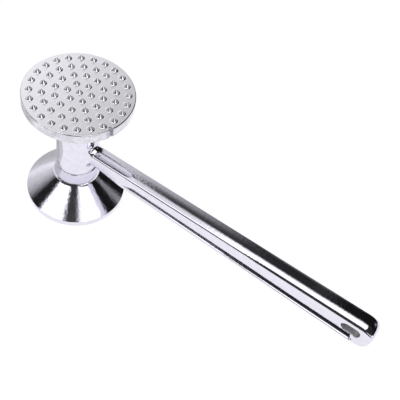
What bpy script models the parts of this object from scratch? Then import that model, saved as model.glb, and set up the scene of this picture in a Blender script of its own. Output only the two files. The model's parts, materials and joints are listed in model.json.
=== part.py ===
"""Two-faced meat mallet: a toothed head and a smooth head on one neck, with a cast bar handle.

The tool stands on its smooth face. The origin is the centre of that face, +Z runs up the neck to
the toothed face, and +X runs along the handle.
"""

import math

import bmesh
import bpy
from mathutils import Matrix, Vector

MM = 0.001
NAME = "meat_mallet"
GAP = 0.3 * MM                # clearance between pieces that touch
MERGE = 0.01 * MM             # merge distance of the modifiers

# Driving dimensions of the head
TOOTH_PITCH = 7.0 * MM        # spacing of the rings of teeth
TOOTH_RINGS = 4               # rings around the centre tooth
HEAD_HEIGHT = 89.9 * MM       # smooth face to toothed face
TOOTHED_RADIUS = 32.5 * MM
SMOOTH_RADIUS = 31.8 * MM
NECK_RADIUS = 12.8 * MM
COLLAR_RADIUS = 13.4 * MM
FLARE_ANGLE = math.radians(41)    # slope of both flared heads, from the plane of their face

# Teeth
TOOTH_BASE = 0.28 * TOOTH_PITCH
TOOTH_TIP = 0.05 * TOOTH_PITCH
TOOTH_HEIGHT = 0.35 * TOOTH_PITCH
TOOTH_SINK = 0.5 * MM         # how far a tooth's root goes into the face
TOOTH_SIDES = 16
TOOTH_TURN = math.radians(21.3)   # the rows' angle from the handle

# Toothed head
TOOTHED_RIM = 7.0 * MM
RIM_CHAMFER = 0.6 * MM
RIM_EDGE = 0.8 * MM           # rounding between the rim's side and the flare
NOTCH_WIDTH = 2.2 * MM
NOTCH_DEPTH = 1.6 * MM
NOTCH_TURN = math.radians(-18.5)

# Smooth head and the collar above it
SMOOTH_RIM = 4.1 * MM
FACE_CHAMFER = 0.4 * MM
COLLAR_HEIGHT = 8.6 * MM
COLLAR_EDGE = 0.25 * MM

# Inside the neck
SPIGOT_RADIUS = 7.7 * MM
SPIGOT_LENGTH = 9.0 * MM      # how far each head's spigot goes into the barrel
STUD_RADIUS = 4.0 * MM
STUD_ENGAGEMENT = 14.0 * MM   # thread beyond each seat
STUD_CHAMFER = 0.8 * MM
WASHER_RADIUS = 7.4 * MM
WASHER_THICKNESS = 2.2 * MM
WASHER_SPLIT = 1.2 * MM
PIN_RADIUS = 1.5 * MM
PIN_CIRCLE = 10.4 * MM        # distance of the key pin from the neck's axis
PIN_DEPTH = 5.0 * MM          # hole depth on each side of the joint

# Handle
HANDLE_END = 210.2 * MM
HANDLE_EDGE_Z = (47.6 * MM, 47.25 * MM)   # where the top's rounded edge meets the side
CROWN_ANGLE = math.radians(25)
HALF_WIDTH = (5.15 * MM, 6.10 * MM)       # at the neck's axis and at the handle's end
EDGE_RADIUS = (1.3 * MM, 2.2 * MM)
UNDERSIDE_Z = (37.9 * MM, 30.55 * MM)
LEDGE_Z = (42.1 * MM, 32.0 * MM)
RECESS_DEPTH = (0.8 * MM, 1.7 * MM)
RECESS_START = 37.0 * MM
RECESS_END = 200.2 * MM
RECESS_FADE = 9.0 * MM
RECESS_END_FADE = 2.0 * MM
BEAD_RADIUS = 0.9 * MM
BEAD_HEIGHT = 2.1 * MM         # least height of the bead under the recess
BOTTOM_RADIUS = 1.1 * MM
LEDGE_LIFT = 0.1 * MM         # the recess's foot stands this far above the bead
ROOT_RISE_START = 36.0 * MM   # nearer the neck than this the underside climbs
ROOT_RISE_SLOPE = 0.17
ROOT_FILLET = (4.0 * MM, 5.8 * MM)        # on the sides, and above and below
ROOT_DEPTH = 2.3 * MM         # how far the bar's root goes into the barrel's wall
END_CORNER = (3.5 * MM, 2.0 * MM)         # length and depth of the end's quarter-ellipse roundings
END_TOP = (8.9 * MM, 5.1 * MM)
END_HEEL = (9.4 * MM, 7.8 * MM)
SLOT_CENTRE = (197.1 * MM, 40.6 * MM)
SLOT_LENGTH = 12.1 * MM
SLOT_HEIGHT = 7.6 * MM

HEAD_SEGMENTS = 64
NECK_SEGMENTS = 48
SMALL_SEGMENTS = 24

# Heights that follow from the ones above
FLARE_HEIGHT = (SMOOTH_RADIUS - COLLAR_RADIUS) * math.tan(FLARE_ANGLE)
SHOULDER_Z = SMOOTH_RIM + FLARE_HEIGHT
COLLAR_Z = SHOULDER_Z + GAP
BARREL_FOOT = COLLAR_Z + COLLAR_HEIGHT + GAP
UPPER_FLARE_HEIGHT = (TOOTHED_RADIUS - RIM_EDGE - NECK_RADIUS) * math.tan(FLARE_ANGLE)
UPPER_SHOULDER_Z = HEAD_HEIGHT - TOOTHED_RIM - UPPER_FLARE_HEIGHT
BARREL_TOP = UPPER_SHOULDER_Z - GAP
BORE_RADIUS = SPIGOT_RADIUS + GAP
STUD_HOLE = STUD_RADIUS + GAP
UPPER_SEAT = BARREL_TOP - SPIGOT_LENGTH - GAP
LOWER_SPIGOT_TOP = BARREL_FOOT + SPIGOT_LENGTH
LOWER_SEAT = LOWER_SPIGOT_TOP + WASHER_THICKNESS + 2 * GAP


def clear_scene():
    for obj in list(bpy.data.objects):
        bpy.data.objects.remove(obj, do_unlink=True)


def make_collection(name):
    collection = bpy.data.collections.new(name)
    bpy.context.scene.collection.children.link(collection)
    return collection


def make_material(name, colour, roughness):
    material = bpy.data.materials.new(name)
    material.use_nodes = True
    shader = material.node_tree.nodes["Principled BSDF"]
    shader.inputs["Base Color"].default_value = (*colour, 1)
    shader.inputs["Metallic"].default_value = 1
    shader.inputs["Roughness"].default_value = roughness
    return material


def add_object(name, mesh, collection, material=None, smooth_angle=30):
    """Links a mesh as a named object, shaded smooth except across its sharp edges."""
    obj = bpy.data.objects.new(name, mesh)
    collection.objects.link(obj)
    if material:
        mesh.materials.append(material)
    mesh.shade_smooth()
    mesh.set_sharp_from_angle(angle=math.radians(smooth_angle))
    return obj


def mesh_from(bm, name):
    mesh = bpy.data.meshes.new(name)
    bm.to_mesh(mesh)
    bm.free()
    return mesh


def turned(name, profile, segments, collection, material=None, closed=False):
    """A turned piece: (radius, height) points down its outer side, swept around Z."""
    bm = bmesh.new()
    verts = [bm.verts.new((radius, 0, height)) for radius, height in profile]
    for first, second in zip(verts, verts[1:]):
        bm.edges.new((first, second))
    if closed:
        bm.edges.new((verts[-1], verts[0]))
    obj = add_object(name, mesh_from(bm, name), collection, material)
    screw = obj.modifiers.new("turn", "SCREW")
    screw.axis = "Z"
    screw.steps = segments
    screw.render_steps = segments
    screw.use_merge_vertices = True
    screw.merge_threshold = MERGE
    screw.use_smooth_shade = False
    return obj


def boolean(obj, cutter, operation):
    modifier = obj.modifiers.new(f"{operation.lower()} {cutter.name}", "BOOLEAN")
    modifier.operation = operation
    modifier.solver = "EXACT"
    modifier.object = cutter


def hide_cutter(obj):
    obj.hide_render = True
    obj.display_type = "WIRE"
    return obj


def pole(name, radius, low, high, place, segments, cutters):
    """An upright round cutter between two heights, at place = (x, y)."""
    bm = bmesh.new()
    middle = Matrix.Translation((place[0], place[1], (low + high) / 2))
    bmesh.ops.create_cone(bm, cap_ends=True, segments=segments, radius1=radius, radius2=radius,
                          depth=high - low, matrix=middle)
    return hide_cutter(add_object(name, mesh_from(bm, name), cutters))


def block(name, size, matrix, cutters):
    bm = bmesh.new()
    bmesh.ops.create_cube(bm, size=1, matrix=matrix @ Matrix.Diagonal((*size, 1)))
    return hide_cutter(add_object(name, mesh_from(bm, name), cutters))


def tooth_places():
    """The centre tooth, then rings of 6, 12, 18 and 24, evenly spaced in each ring."""
    yield 0.0, 0.0
    for ring in range(1, TOOTH_RINGS + 1):
        count = 6 * ring
        for index in range(count):
            angle = TOOTH_TURN + 2 * math.pi * index / count
            yield ring * TOOTH_PITCH * math.cos(angle), ring * TOOTH_PITCH * math.sin(angle)


def make_teeth(cutters):
    bm = bmesh.new()
    slope = (TOOTH_BASE - TOOTH_TIP) / TOOTH_HEIGHT
    root_radius = TOOTH_BASE + slope * TOOTH_SINK
    middle = HEAD_HEIGHT + (TOOTH_HEIGHT - TOOTH_SINK) / 2
    for x, y in tooth_places():
        bmesh.ops.create_cone(bm, cap_ends=True, segments=TOOTH_SIDES, radius1=root_radius,
                              radius2=TOOTH_TIP, depth=TOOTH_HEIGHT + TOOTH_SINK,
                              matrix=Matrix.Translation((x, y, middle)))
    return hide_cutter(add_object("teeth", mesh_from(bm, "teeth"), cutters))


def make_toothed_head(parts, cutters, metal):
    """The upper head: a flared disc with cast teeth, and a bored spigot that enters the barrel."""
    spigot_foot = UPPER_SEAT + GAP
    rim_foot = HEAD_HEIGHT - TOOTHED_RIM
    hole_top = BARREL_TOP + STUD_ENGAGEMENT + GAP
    profile = [
        (0, HEAD_HEIGHT),
        (TOOTHED_RADIUS - RIM_CHAMFER, HEAD_HEIGHT),
        (TOOTHED_RADIUS, HEAD_HEIGHT - RIM_CHAMFER),
        (TOOTHED_RADIUS, rim_foot + RIM_EDGE),
        (TOOTHED_RADIUS - 0.3 * RIM_EDGE, rim_foot + 0.3 * RIM_EDGE),
        (TOOTHED_RADIUS - RIM_EDGE, rim_foot),
        (NECK_RADIUS, UPPER_SHOULDER_Z),
        (SPIGOT_RADIUS, UPPER_SHOULDER_Z),
        (SPIGOT_RADIUS, spigot_foot),
        (STUD_HOLE, spigot_foot),
        (STUD_HOLE, hole_top),
        (0, hole_top),
    ]
    head = turned("toothed_head", profile, HEAD_SEGMENTS, parts, metal)
    boolean(head, make_teeth(cutters), "UNION")
    turn = Matrix.Rotation(NOTCH_TURN, 4, "Z")
    notch_height = 4 * TOOTHED_RIM
    place = turn @ Matrix.Translation((TOOTHED_RADIUS, 0, HEAD_HEIGHT))
    boolean(head, block("rim_notch", (2 * NOTCH_DEPTH, NOTCH_WIDTH, notch_height), place, cutters),
            "DIFFERENCE")
    hole = pole("head_pin_hole", PIN_RADIUS + GAP, BARREL_TOP - PIN_DEPTH,
                UPPER_SHOULDER_Z + PIN_DEPTH, (-PIN_CIRCLE, 0), SMALL_SEGMENTS, cutters)
    boolean(head, hole, "DIFFERENCE")
    return head


def make_smooth_head(parts, metal):
    """The lower head: a flared disc with a plain flat face, and a bored spigot."""
    hole_foot = SHOULDER_Z - STUD_ENGAGEMENT + GAP
    profile = [
        (0, hole_foot),
        (STUD_HOLE, hole_foot),
        (STUD_HOLE, LOWER_SPIGOT_TOP),
        (SPIGOT_RADIUS, LOWER_SPIGOT_TOP),
        (SPIGOT_RADIUS, SHOULDER_Z),
        (COLLAR_RADIUS, SHOULDER_Z),
        (SMOOTH_RADIUS, SMOOTH_RIM),
        (SMOOTH_RADIUS, FACE_CHAMFER),
        (SMOOTH_RADIUS - FACE_CHAMFER, 0),
        (0, 0),
    ]
    return turned("smooth_head", profile, HEAD_SEGMENTS, parts, metal)


def ring_profile(inner, outer, low, high, edge):
    """A closed ring section with its two outer corners cut back by edge."""
    return [
        (inner, high),
        (outer - edge, high),
        (outer, high - edge),
        (outer, low + edge),
        (outer - edge, low),
        (inner, low),
    ]


def make_collar(parts, metal):
    profile = ring_profile(BORE_RADIUS, COLLAR_RADIUS, COLLAR_Z, COLLAR_Z + COLLAR_HEIGHT,
                           COLLAR_EDGE)
    return turned("neck_collar", profile, NECK_SEGMENTS, parts, metal, closed=True)


def make_lock_washer(parts, cutters, metal):
    """A split spring washer between the smooth head's spigot and its seat in the barrel."""
    low = LOWER_SPIGOT_TOP + GAP
    profile = ring_profile(STUD_HOLE + GAP, WASHER_RADIUS, low, low + WASHER_THICKNESS, COLLAR_EDGE)
    washer = turned("lock_washer", profile, NECK_SEGMENTS, parts, metal, closed=True)
    place = Matrix.Translation((0, WASHER_RADIUS, low + WASHER_THICKNESS / 2))
    size = (WASHER_SPLIT, 2 * WASHER_RADIUS, 3 * WASHER_THICKNESS)
    turn = Matrix.Rotation(math.radians(20), 4, "Y")
    boolean(washer, block("washer_split", size, place @ turn, cutters), "DIFFERENCE")
    return washer


def make_stud(parts, metal):
    """The double-ended stud that pulls both heads against the barrel, relieved at mid-length."""
    low = SHOULDER_Z - STUD_ENGAGEMENT + 2 * GAP
    high = BARREL_TOP + STUD_ENGAGEMENT
    core = STUD_RADIUS - STUD_CHAMFER
    profile = [
        (0, high),
        (core, high),
        (STUD_RADIUS, high - STUD_CHAMFER),
        (STUD_RADIUS, UPPER_SEAT - STUD_CHAMFER),
        (core, UPPER_SEAT - 2 * STUD_CHAMFER),
        (core, LOWER_SEAT + 2 * STUD_CHAMFER),
        (STUD_RADIUS, LOWER_SEAT + STUD_CHAMFER),
        (STUD_RADIUS, low + STUD_CHAMFER),
        (core, low),
        (0, low),
    ]
    return turned("tie_stud", profile, SMALL_SEGMENTS, parts, metal)


def make_key_pin(parts, metal):
    """The pin across the upper joint that stops the toothed head from turning."""
    low = BARREL_TOP - PIN_DEPTH + GAP
    high = UPPER_SHOULDER_Z + PIN_DEPTH - GAP
    edge = 0.2 * PIN_RADIUS
    profile = [
        (0, high),
        (PIN_RADIUS - edge, high),
        (PIN_RADIUS, high - edge),
        (PIN_RADIUS, low + edge),
        (PIN_RADIUS - edge, low),
        (0, low),
    ]
    pin = turned("key_pin", profile, SMALL_SEGMENTS, parts, metal)
    pin.location = (-PIN_CIRCLE, 0, 0)
    return pin


def along(pair, x):
    """A size that changes evenly from the neck's axis to the handle's end."""
    return pair[0] + (pair[1] - pair[0]) * x / HANDLE_END


def ease(value):
    value = min(max(value, 0.0), 1.0)
    return value * value * (3 - 2 * value)


def recess_depth(x):
    """The side recess fades in near the neck and stops just past the slot."""
    fade_in = ease((x - RECESS_START) / RECESS_FADE)
    fade_out = ease((RECESS_END - x) / RECESS_END_FADE)
    return along(RECESS_DEPTH, x) * fade_in * fade_out


def underside(x):
    climb = ROOT_RISE_SLOPE * max(0.0, ROOT_RISE_START - x)
    return along(UNDERSIDE_Z, x) + climb


def round_in(distance, rounding):
    """How far a rounded end has come in, at a distance before the end."""
    length, depth = rounding
    share = max(1.0 - distance / length, 0.0)
    return depth * (1.0 - math.sqrt(1.0 - share * share))


def arc(centre, radius, start, stop, steps):
    """Points on an arc; angles run from straight up towards +Y."""
    for step in range(steps + 1):
        angle = start + (stop - start) * step / steps
        yield centre[0] + radius * math.sin(angle), centre[1] + radius * math.cos(angle)


def half_section(x):
    """The handle's outline at x for y >= 0, as (y, z) from the top's middle to the underside's."""
    to_end = HANDLE_END - x
    side = along(HALF_WIDTH, x) - round_in(to_end, END_CORNER)
    edge = along(EDGE_RADIUS, x)
    edge_z = along(HANDLE_EDGE_Z, x) - round_in(to_end, END_TOP)
    bottom = underside(x) + round_in(to_end, END_HEEL)
    depth = recess_depth(x)
    ledge = max(along(LEDGE_Z, x), bottom + BEAD_HEIGHT)
    crown_side = side - edge + edge * math.sin(CROWN_ANGLE)
    crown_radius = crown_side / math.sin(CROWN_ANGLE)
    crown_centre = edge_z + (edge - crown_radius) * math.cos(CROWN_ANGLE)
    points = list(arc((0, crown_centre), crown_radius, 0, CROWN_ANGLE, 4))
    points += list(arc((side - edge, edge_z), edge, CROWN_ANGLE, math.pi / 2, 4))[1:]
    points.append((side - 0.5 * depth, (edge_z + ledge) / 2))
    points.append((side - depth, ledge + LEDGE_LIFT))
    flat = min(depth, BEAD_RADIUS)
    points += [(side - flat + y, z) for y, z in
               ((flat * math.sin(a), ledge - BEAD_RADIUS * (1 - math.cos(a)))
                for a in (0.0, math.pi / 4, math.pi / 2))]
    points += list(arc((side - BOTTOM_RADIUS, bottom + BOTTOM_RADIUS), BOTTOM_RADIUS,
                       math.pi / 2, math.pi, 3))
    points.append((0, bottom))
    return points


def full_section(x):
    half = half_section(x)
    return half + [(-y, z) for y, z in reversed(half[1:-1])]


def section_normals(outline):
    """Outward directions at the outline's points."""
    count = len(outline)
    for index in range(count):
        before = Vector(outline[index - 1])
        after = Vector(outline[(index + 1) % count])
        run = (after - before).normalized()
        yield -run.y, run.x


def root_turn(y, lean, radius):
    """How far a root fillet turns before it runs along the barrel, by bisection."""
    low, high = 0.0, math.pi / 2
    for _ in range(40):
        turn = (low + high) / 2
        side = y + lean * radius * (1 - math.cos(turn))
        forward = math.sqrt(NECK_RADIUS ** 2 - side ** 2)
        if forward * math.cos(turn) > lean * side * math.sin(turn):
            low = turn
        else:
            high = turn
    return turn, forward + radius * math.sin(turn)


def root_rings(steps):
    """Rings of points that sweep the handle's outline outward onto the barrel, neck side first."""
    outline = full_section(ROOT_RISE_START / 2)
    rings = [[] for _ in range(steps + 2)]
    for (y, z), (lean, lift) in zip(outline, section_normals(outline)):
        radius = math.hypot(ROOT_FILLET[0] * lean, ROOT_FILLET[1] * lift)
        turn, start = root_turn(abs(y), abs(lean), radius)
        for step in range(steps + 1):
            angle = turn * (1 - step / steps)
            out = radius * (1 - math.cos(angle))
            x = start - radius * math.sin(angle)
            rings[step + 1].append(Vector((x, y + lean * out, z + lift * out)))
        contact = rings[1][-1]
        inside = (NECK_RADIUS - ROOT_DEPTH) / NECK_RADIUS
        rings[0].append(Vector((contact.x * inside, contact.y * inside, contact.z)))
    return rings


def handle_stations():
    """Places along the bar where its outline is taken: closer together where it changes."""
    stations = [RECESS_START + RECESS_FADE * step / 4 for step in range(5)]
    stations.insert(0, 30.0 * MM)
    first, last = stations[-1], RECESS_END - RECESS_END_FADE
    stations += [first + (last - first) * step / 8 for step in range(1, 9)]
    stations += [RECESS_END - RECESS_END_FADE / 2, RECESS_END]
    heel_start = HANDLE_END - END_HEEL[0]
    steps = 8
    for step in range(1, steps + 1):
        stations.append(heel_start + END_HEEL[0] * math.sin(math.pi / 2 * step / steps))
    return sorted(stations)


def make_bar(cutters):
    """The handle's bar, lofted through its outlines from inside the barrel's wall to the end."""
    bm = bmesh.new()
    rings = root_rings(5)
    for x in handle_stations():
        rings.append([Vector((x, y, z)) for y, z in full_section(x)])
    loops = [[bm.verts.new(point) for point in ring] for ring in rings]
    for near, far in zip(loops, loops[1:]):
        for index in range(len(near)):
            following = (index + 1) % len(near)
            bm.faces.new((near[index], near[following], far[following], far[index]))
    bm.faces.new(list(reversed(loops[0])))
    bm.faces.new(loops[-1])
    bmesh.ops.recalc_face_normals(bm, faces=bm.faces)
    bmesh.ops.triangulate(bm, faces=bm.faces)
    return hide_cutter(add_object("handle_bar", mesh_from(bm, "handle_bar"), cutters))


def make_slot(cutters):
    """The hanging slot's round-ended cutter, which runs right through the bar."""
    bm = bmesh.new()
    radius = SLOT_HEIGHT / 2
    reach = SLOT_LENGTH / 2 - radius
    outline = []
    for side in (1, -1):
        for step in range(9):
            angle = math.pi * (step / 8 - 0.5)
            outline.append((side * (reach + radius * math.cos(angle)), side * radius * math.sin(angle)))
    width = 3 * HALF_WIDTH[1]
    face = bm.faces.new([bm.verts.new((SLOT_CENTRE[0] + x, -width / 2, SLOT_CENTRE[1] + z))
                         for x, z in outline])
    grown = bmesh.ops.extrude_face_region(bm, geom=[face])
    moved = [item for item in grown["geom"] if isinstance(item, bmesh.types.BMVert)]
    bmesh.ops.translate(bm, verts=moved, vec=(0, width, 0))
    bmesh.ops.recalc_face_normals(bm, faces=bm.faces)
    return hide_cutter(add_object("hanging_slot", mesh_from(bm, "hanging_slot"), cutters))


def make_handle(parts, cutters, metal):
    """One casting: the barrel that both heads seat in, and the bar that grows out of its side."""
    profile = [
        (BORE_RADIUS, BARREL_TOP),
        (NECK_RADIUS, BARREL_TOP),
        (NECK_RADIUS, BARREL_FOOT),
        (BORE_RADIUS, BARREL_FOOT),
        (BORE_RADIUS, LOWER_SEAT),
        (STUD_HOLE, LOWER_SEAT),
        (STUD_HOLE, UPPER_SEAT),
        (BORE_RADIUS, UPPER_SEAT),
    ]
    handle = turned("handle", profile, NECK_SEGMENTS, parts, metal, closed=True)
    boolean(handle, make_bar(cutters), "UNION")
    boolean(handle, make_slot(cutters), "DIFFERENCE")
    hole = pole("barrel_pin_hole", PIN_RADIUS + GAP, BARREL_TOP - PIN_DEPTH,
                UPPER_SHOULDER_Z + PIN_DEPTH, (-PIN_CIRCLE, 0), SMALL_SEGMENTS, cutters)
    boolean(handle, hole, "DIFFERENCE")
    return handle


def main():
    clear_scene()
    parts = make_collection(NAME)
    cutters = make_collection("cutters")
    polished = make_material("polished_casting", (0.87, 0.87, 0.90), 0.12)
    satin = make_material("toothed_casting", (0.78, 0.78, 0.80), 0.32)
    steel = make_material("plated_steel", (0.60, 0.60, 0.62), 0.35)
    make_toothed_head(parts, cutters, satin)
    make_smooth_head(parts, polished)
    make_handle(parts, cutters, polished)
    make_collar(parts, polished)
    make_stud(parts, steel)
    make_lock_washer(parts, cutters, steel)
    make_key_pin(parts, steel)


main()
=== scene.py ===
"""Studio scene of the two-faced meat mallet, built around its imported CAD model.

The four castings are rebuilt here with fine, rounded surfaces and exact normals, because polished
metal shows every facet. They are modelled in the tool's own axes: the origin is the centre of the
smooth face, +Z runs up the neck to the toothed face, and +X runs along the handle.
"""
import json
import math

import bpy
from mathutils import Matrix, Vector
from mathutils.geometry import delaunay_2d_cdt


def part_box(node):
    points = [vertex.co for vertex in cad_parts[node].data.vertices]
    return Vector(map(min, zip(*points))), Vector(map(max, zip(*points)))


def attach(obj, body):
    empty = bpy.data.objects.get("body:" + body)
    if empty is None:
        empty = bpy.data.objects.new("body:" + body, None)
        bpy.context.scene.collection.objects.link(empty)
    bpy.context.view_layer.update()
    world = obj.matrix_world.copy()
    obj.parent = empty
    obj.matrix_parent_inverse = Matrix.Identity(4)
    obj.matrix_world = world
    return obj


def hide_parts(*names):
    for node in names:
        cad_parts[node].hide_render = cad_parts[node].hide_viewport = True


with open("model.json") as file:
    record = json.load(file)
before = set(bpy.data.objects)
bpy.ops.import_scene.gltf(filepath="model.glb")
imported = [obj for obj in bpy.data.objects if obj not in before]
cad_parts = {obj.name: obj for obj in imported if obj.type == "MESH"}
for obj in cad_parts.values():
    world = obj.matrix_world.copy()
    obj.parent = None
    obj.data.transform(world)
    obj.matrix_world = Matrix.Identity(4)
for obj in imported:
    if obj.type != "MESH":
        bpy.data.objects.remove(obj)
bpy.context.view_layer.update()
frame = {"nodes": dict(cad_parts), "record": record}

MM = 0.001
WELD = 1e-7                   # corners closer than this are one vertex
SLOPE_STEP = 0.05 * MM        # for measuring the slope of a surface

# The tool's axes, from the smooth face's mount
MOUNT = frame["record"]["mounts"][0]
UP = -Vector(MOUNT["axis"]).normalized()
AHEAD = Vector((UP.z, 0, -UP.x))
TOOL = Matrix((AHEAD, UP.cross(AHEAD), UP)).transposed().to_4x4()
TOOL.translation = MOUNT["pos_m"]


def tool_points(node):
    """The CAD node's corners in the tool's axes."""
    into = TOOL.inverted()
    return [into @ vertex.co for vertex in frame["nodes"][node].data.vertices]


def reach(node):
    """The CAD node's largest distance from the neck's axis."""
    return max(math.hypot(point.x, point.y) for point in tool_points(node))


def heights(node):
    levels = [point.z for point in tool_points(node)]
    return min(levels), max(levels)


# Sizes from the frame
TOOTHED_RADIUS = reach("toothed_head")
SMOOTH_RADIUS = reach("smooth_head")
COLLAR_RADIUS = reach("neck_collar")
HANDLE_END = max(point.x for point in tool_points("handle"))
COLLAR_FOOT, COLLAR_TOP = heights("neck_collar")
LOWER_SPIGOT_TOP = heights("smooth_head")[1]
HEAD_FOOT, TOOTH_TOP = heights("toothed_head")
STUD_RADIUS = (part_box("tie_stud")[1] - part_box("tie_stud")[0]).y / 2
PIN_RADIUS = (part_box("key_pin")[1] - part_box("key_pin")[0]).y / 2
PIN_FOOT, PIN_TOP = heights("key_pin")
PIN_CIRCLE = -(max(p.x for p in tool_points("key_pin")) + min(p.x for p in tool_points("key_pin"))) / 2
STUD_FOOT, STUD_TOP = heights("tie_stud")
WASHER_TOP = heights("lock_washer")[1]

# Sizes that the frame doesn't give directly
GAP = 0.3 * MM
NECK_RADIUS = 12.8 * MM
SPIGOT_RADIUS = 7.7 * MM
TOOTH_PITCH = 7.0 * MM
TOOTH_RINGS = 4
TOOTH_TURN = math.radians(21.3)
TOOTH_BASE = 0.28 * TOOTH_PITCH
TOOTH_TIP = 0.05 * TOOTH_PITCH
TOOTH_HEIGHT = 0.35 * TOOTH_PITCH
TOOTH_FILLET = 0.8 * MM
TOOTHED_RIM = 7.0 * MM
SMOOTH_RIM = 4.1 * MM
FACE_EDGE = 0.6 * MM
CONE_EDGE = 0.35 * MM
SMALL_EDGE = 0.22 * MM
RIM_BEVEL = 0.8 * MM          # between the toothed head's rim and its flare
RIM_ROUND = 0.9 * MM
FLARE_ROUND = 0.5 * MM
NOTCH_WIDTH = 2.2 * MM
NOTCH_DEPTH = 1.6 * MM
NOTCH_TURN = math.radians(-18.5)
NOTCH_WALL = 0.5 * MM         # width over which the notch's side falls
NOTCH_SHADE_FROM = 0.3        # where the notch's wall painted darker as shade starts, in widths from its middle
CURL = 0.9 * MM               # width of the steeper skirt under the collar
CURL_SLOPE = math.radians(60)
CURL_RADIUS = 5.0 * MM
COLLAR_EDGE = 0.5 * MM
CLOSE_GAP = 0.05 * MM         # the joint line between barrel and collar as it looks from outside

# Heights and radii that follow
HEAD_HEIGHT = TOOTH_TOP - TOOTH_HEIGHT
SHOULDER_Z = COLLAR_FOOT - GAP
BARREL_FOOT = COLLAR_TOP + GAP
BARREL_TOP = (PIN_FOOT + PIN_TOP - GAP) / 2
UPPER_SHOULDER_Z = BARREL_TOP + GAP
UPPER_SEAT = HEAD_FOOT - GAP
LOWER_SEAT = WASHER_TOP + GAP
BORE_RADIUS = SPIGOT_RADIUS + GAP
STUD_HOLE = STUD_RADIUS + GAP
PIN_HOLE = PIN_RADIUS + GAP

# The handle's bar. A pair of sizes is at the neck's axis and at the handle's end
HANDLE_EDGE_Z = (47.6 * MM, 47.25 * MM)
CROWN_ANGLE = math.radians(25)
HALF_WIDTH = (5.15 * MM, 6.10 * MM)
EDGE_RADIUS = (1.3 * MM, 2.2 * MM)
UNDERSIDE_Z = (37.9 * MM, 30.55 * MM)
LEDGE_Z = (42.1 * MM, 32.0 * MM)
RECESS_DEPTH = (0.8 * MM, 1.7 * MM)
RECESS_START = 37.0 * MM
RECESS_END = 200.2 * MM
RECESS_FADE = 9.0 * MM
RECESS_END_FADE = 2.0 * MM
RECESS_END_LEAN = 11.0 * MM   # the recess reaches this much further at its top edge
RECESS_SOFTER = 7.0 * MM      # and fades over this much more there
RECESS_MARGIN = 2.0 * MM      # but it stays this far from the handle's end
DARK_RECESS = 0.5 * MM        # a recess deeper than this has its foot painted near-black as shade
BEAD_RADIUS = 0.35 * MM
BEAD_HEIGHT = 2.1 * MM        # least height of the bead under the recess
LEDGE_FALL = 0.45 * MM        # how far the bead's top slopes down to its edge
BOTTOM_RADIUS = 1.1 * MM
FOOT_RADIUS = 0.35 * MM
ROOT_RISE_START = 36.0 * MM
ROOT_RISE_SLOPE = 0.17
ROOT_FILLET = (4.0 * MM, 5.8 * MM)        # on the sides, and above and below
END_CORNER = (3.5 * MM, 2.0 * MM)         # length and depth of the end's quarter-ellipse roundings
END_TOP = (8.9 * MM, 5.1 * MM)
END_HEEL = (9.4 * MM, 7.8 * MM)
SLOT_CENTRE = (197.1 * MM, 40.6 * MM)
SLOT_LENGTH = 12.1 * MM
SLOT_HEIGHT = 7.6 * MM
SLOT_EDGE = 0.35 * MM

# Fineness of the meshes
ROUND_STEPS = 256             # segments of the heads, collar and barrel
ARC_STEPS = 5                 # steps of a small rounded edge
RIM_ROWS = 3 * (ARC_STEPS + 1)            # the toothed head's rows from the face's edge to the flare
NOTCH_ROWS = 6                # fine rows on the flare, where the notch runs out
NOTCH_ROW_STEP = 0.35 * MM
NOTCH_STEPS = 24              # steps from the notch's middle to its edge
BORE_STEPS = 96
PIN_STEPS = 24
TOOTH_SIDES = 28
CROWN_STEPS = 10              # steps of the bar's outline, from the top's middle down
EDGE_STEPS = 8
PANEL_STEPS = 11
FOOT_STEPS = 4
BEAD_STEPS = 6
BOTTOM_STEPS = 7
BASE_STEPS = 3
PANEL_TOP = CROWN_STEPS + EDGE_STEPS      # the outline's first point on the side panel, and its last
PANEL_FOOT = PANEL_TOP + PANEL_STEPS
DARK_FOOT = (PANEL_FOOT + 2, PANEL_FOOT + FOOT_STEPS + 1)     # the steps of the recess's foot that are painted dark as shade
BAR_START = 20.0 * MM         # the bar's first outline, just past its root fillet
ROOT_SPACING = 1.5 * MM       # between outlines near the root
NEAR_STATIONS = 11            # outlines near the root, then steps up to the handle's end
FADE_STEPS = 14
MIDDLE_STEPS = 90
END_FADE_STEPS = 8
END_STEPS = 24
ROOT_RINGS = 12               # steps of the root fillet
SLOT_STEPS = 16               # steps of the slot's half circles
SLOT_MARGIN = 0.5 * MM        # the finer mesh around the slot reaches this far past its edge
SLOT_GUARD = 0.25 * MM        # and keeps its own points this far away from it
BARREL_LEVELS = 14            # steps up the barrel of the points around the handle's root
ROOT_GUARD = 0.3 * MM         # these points keep this far away from the root


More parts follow.
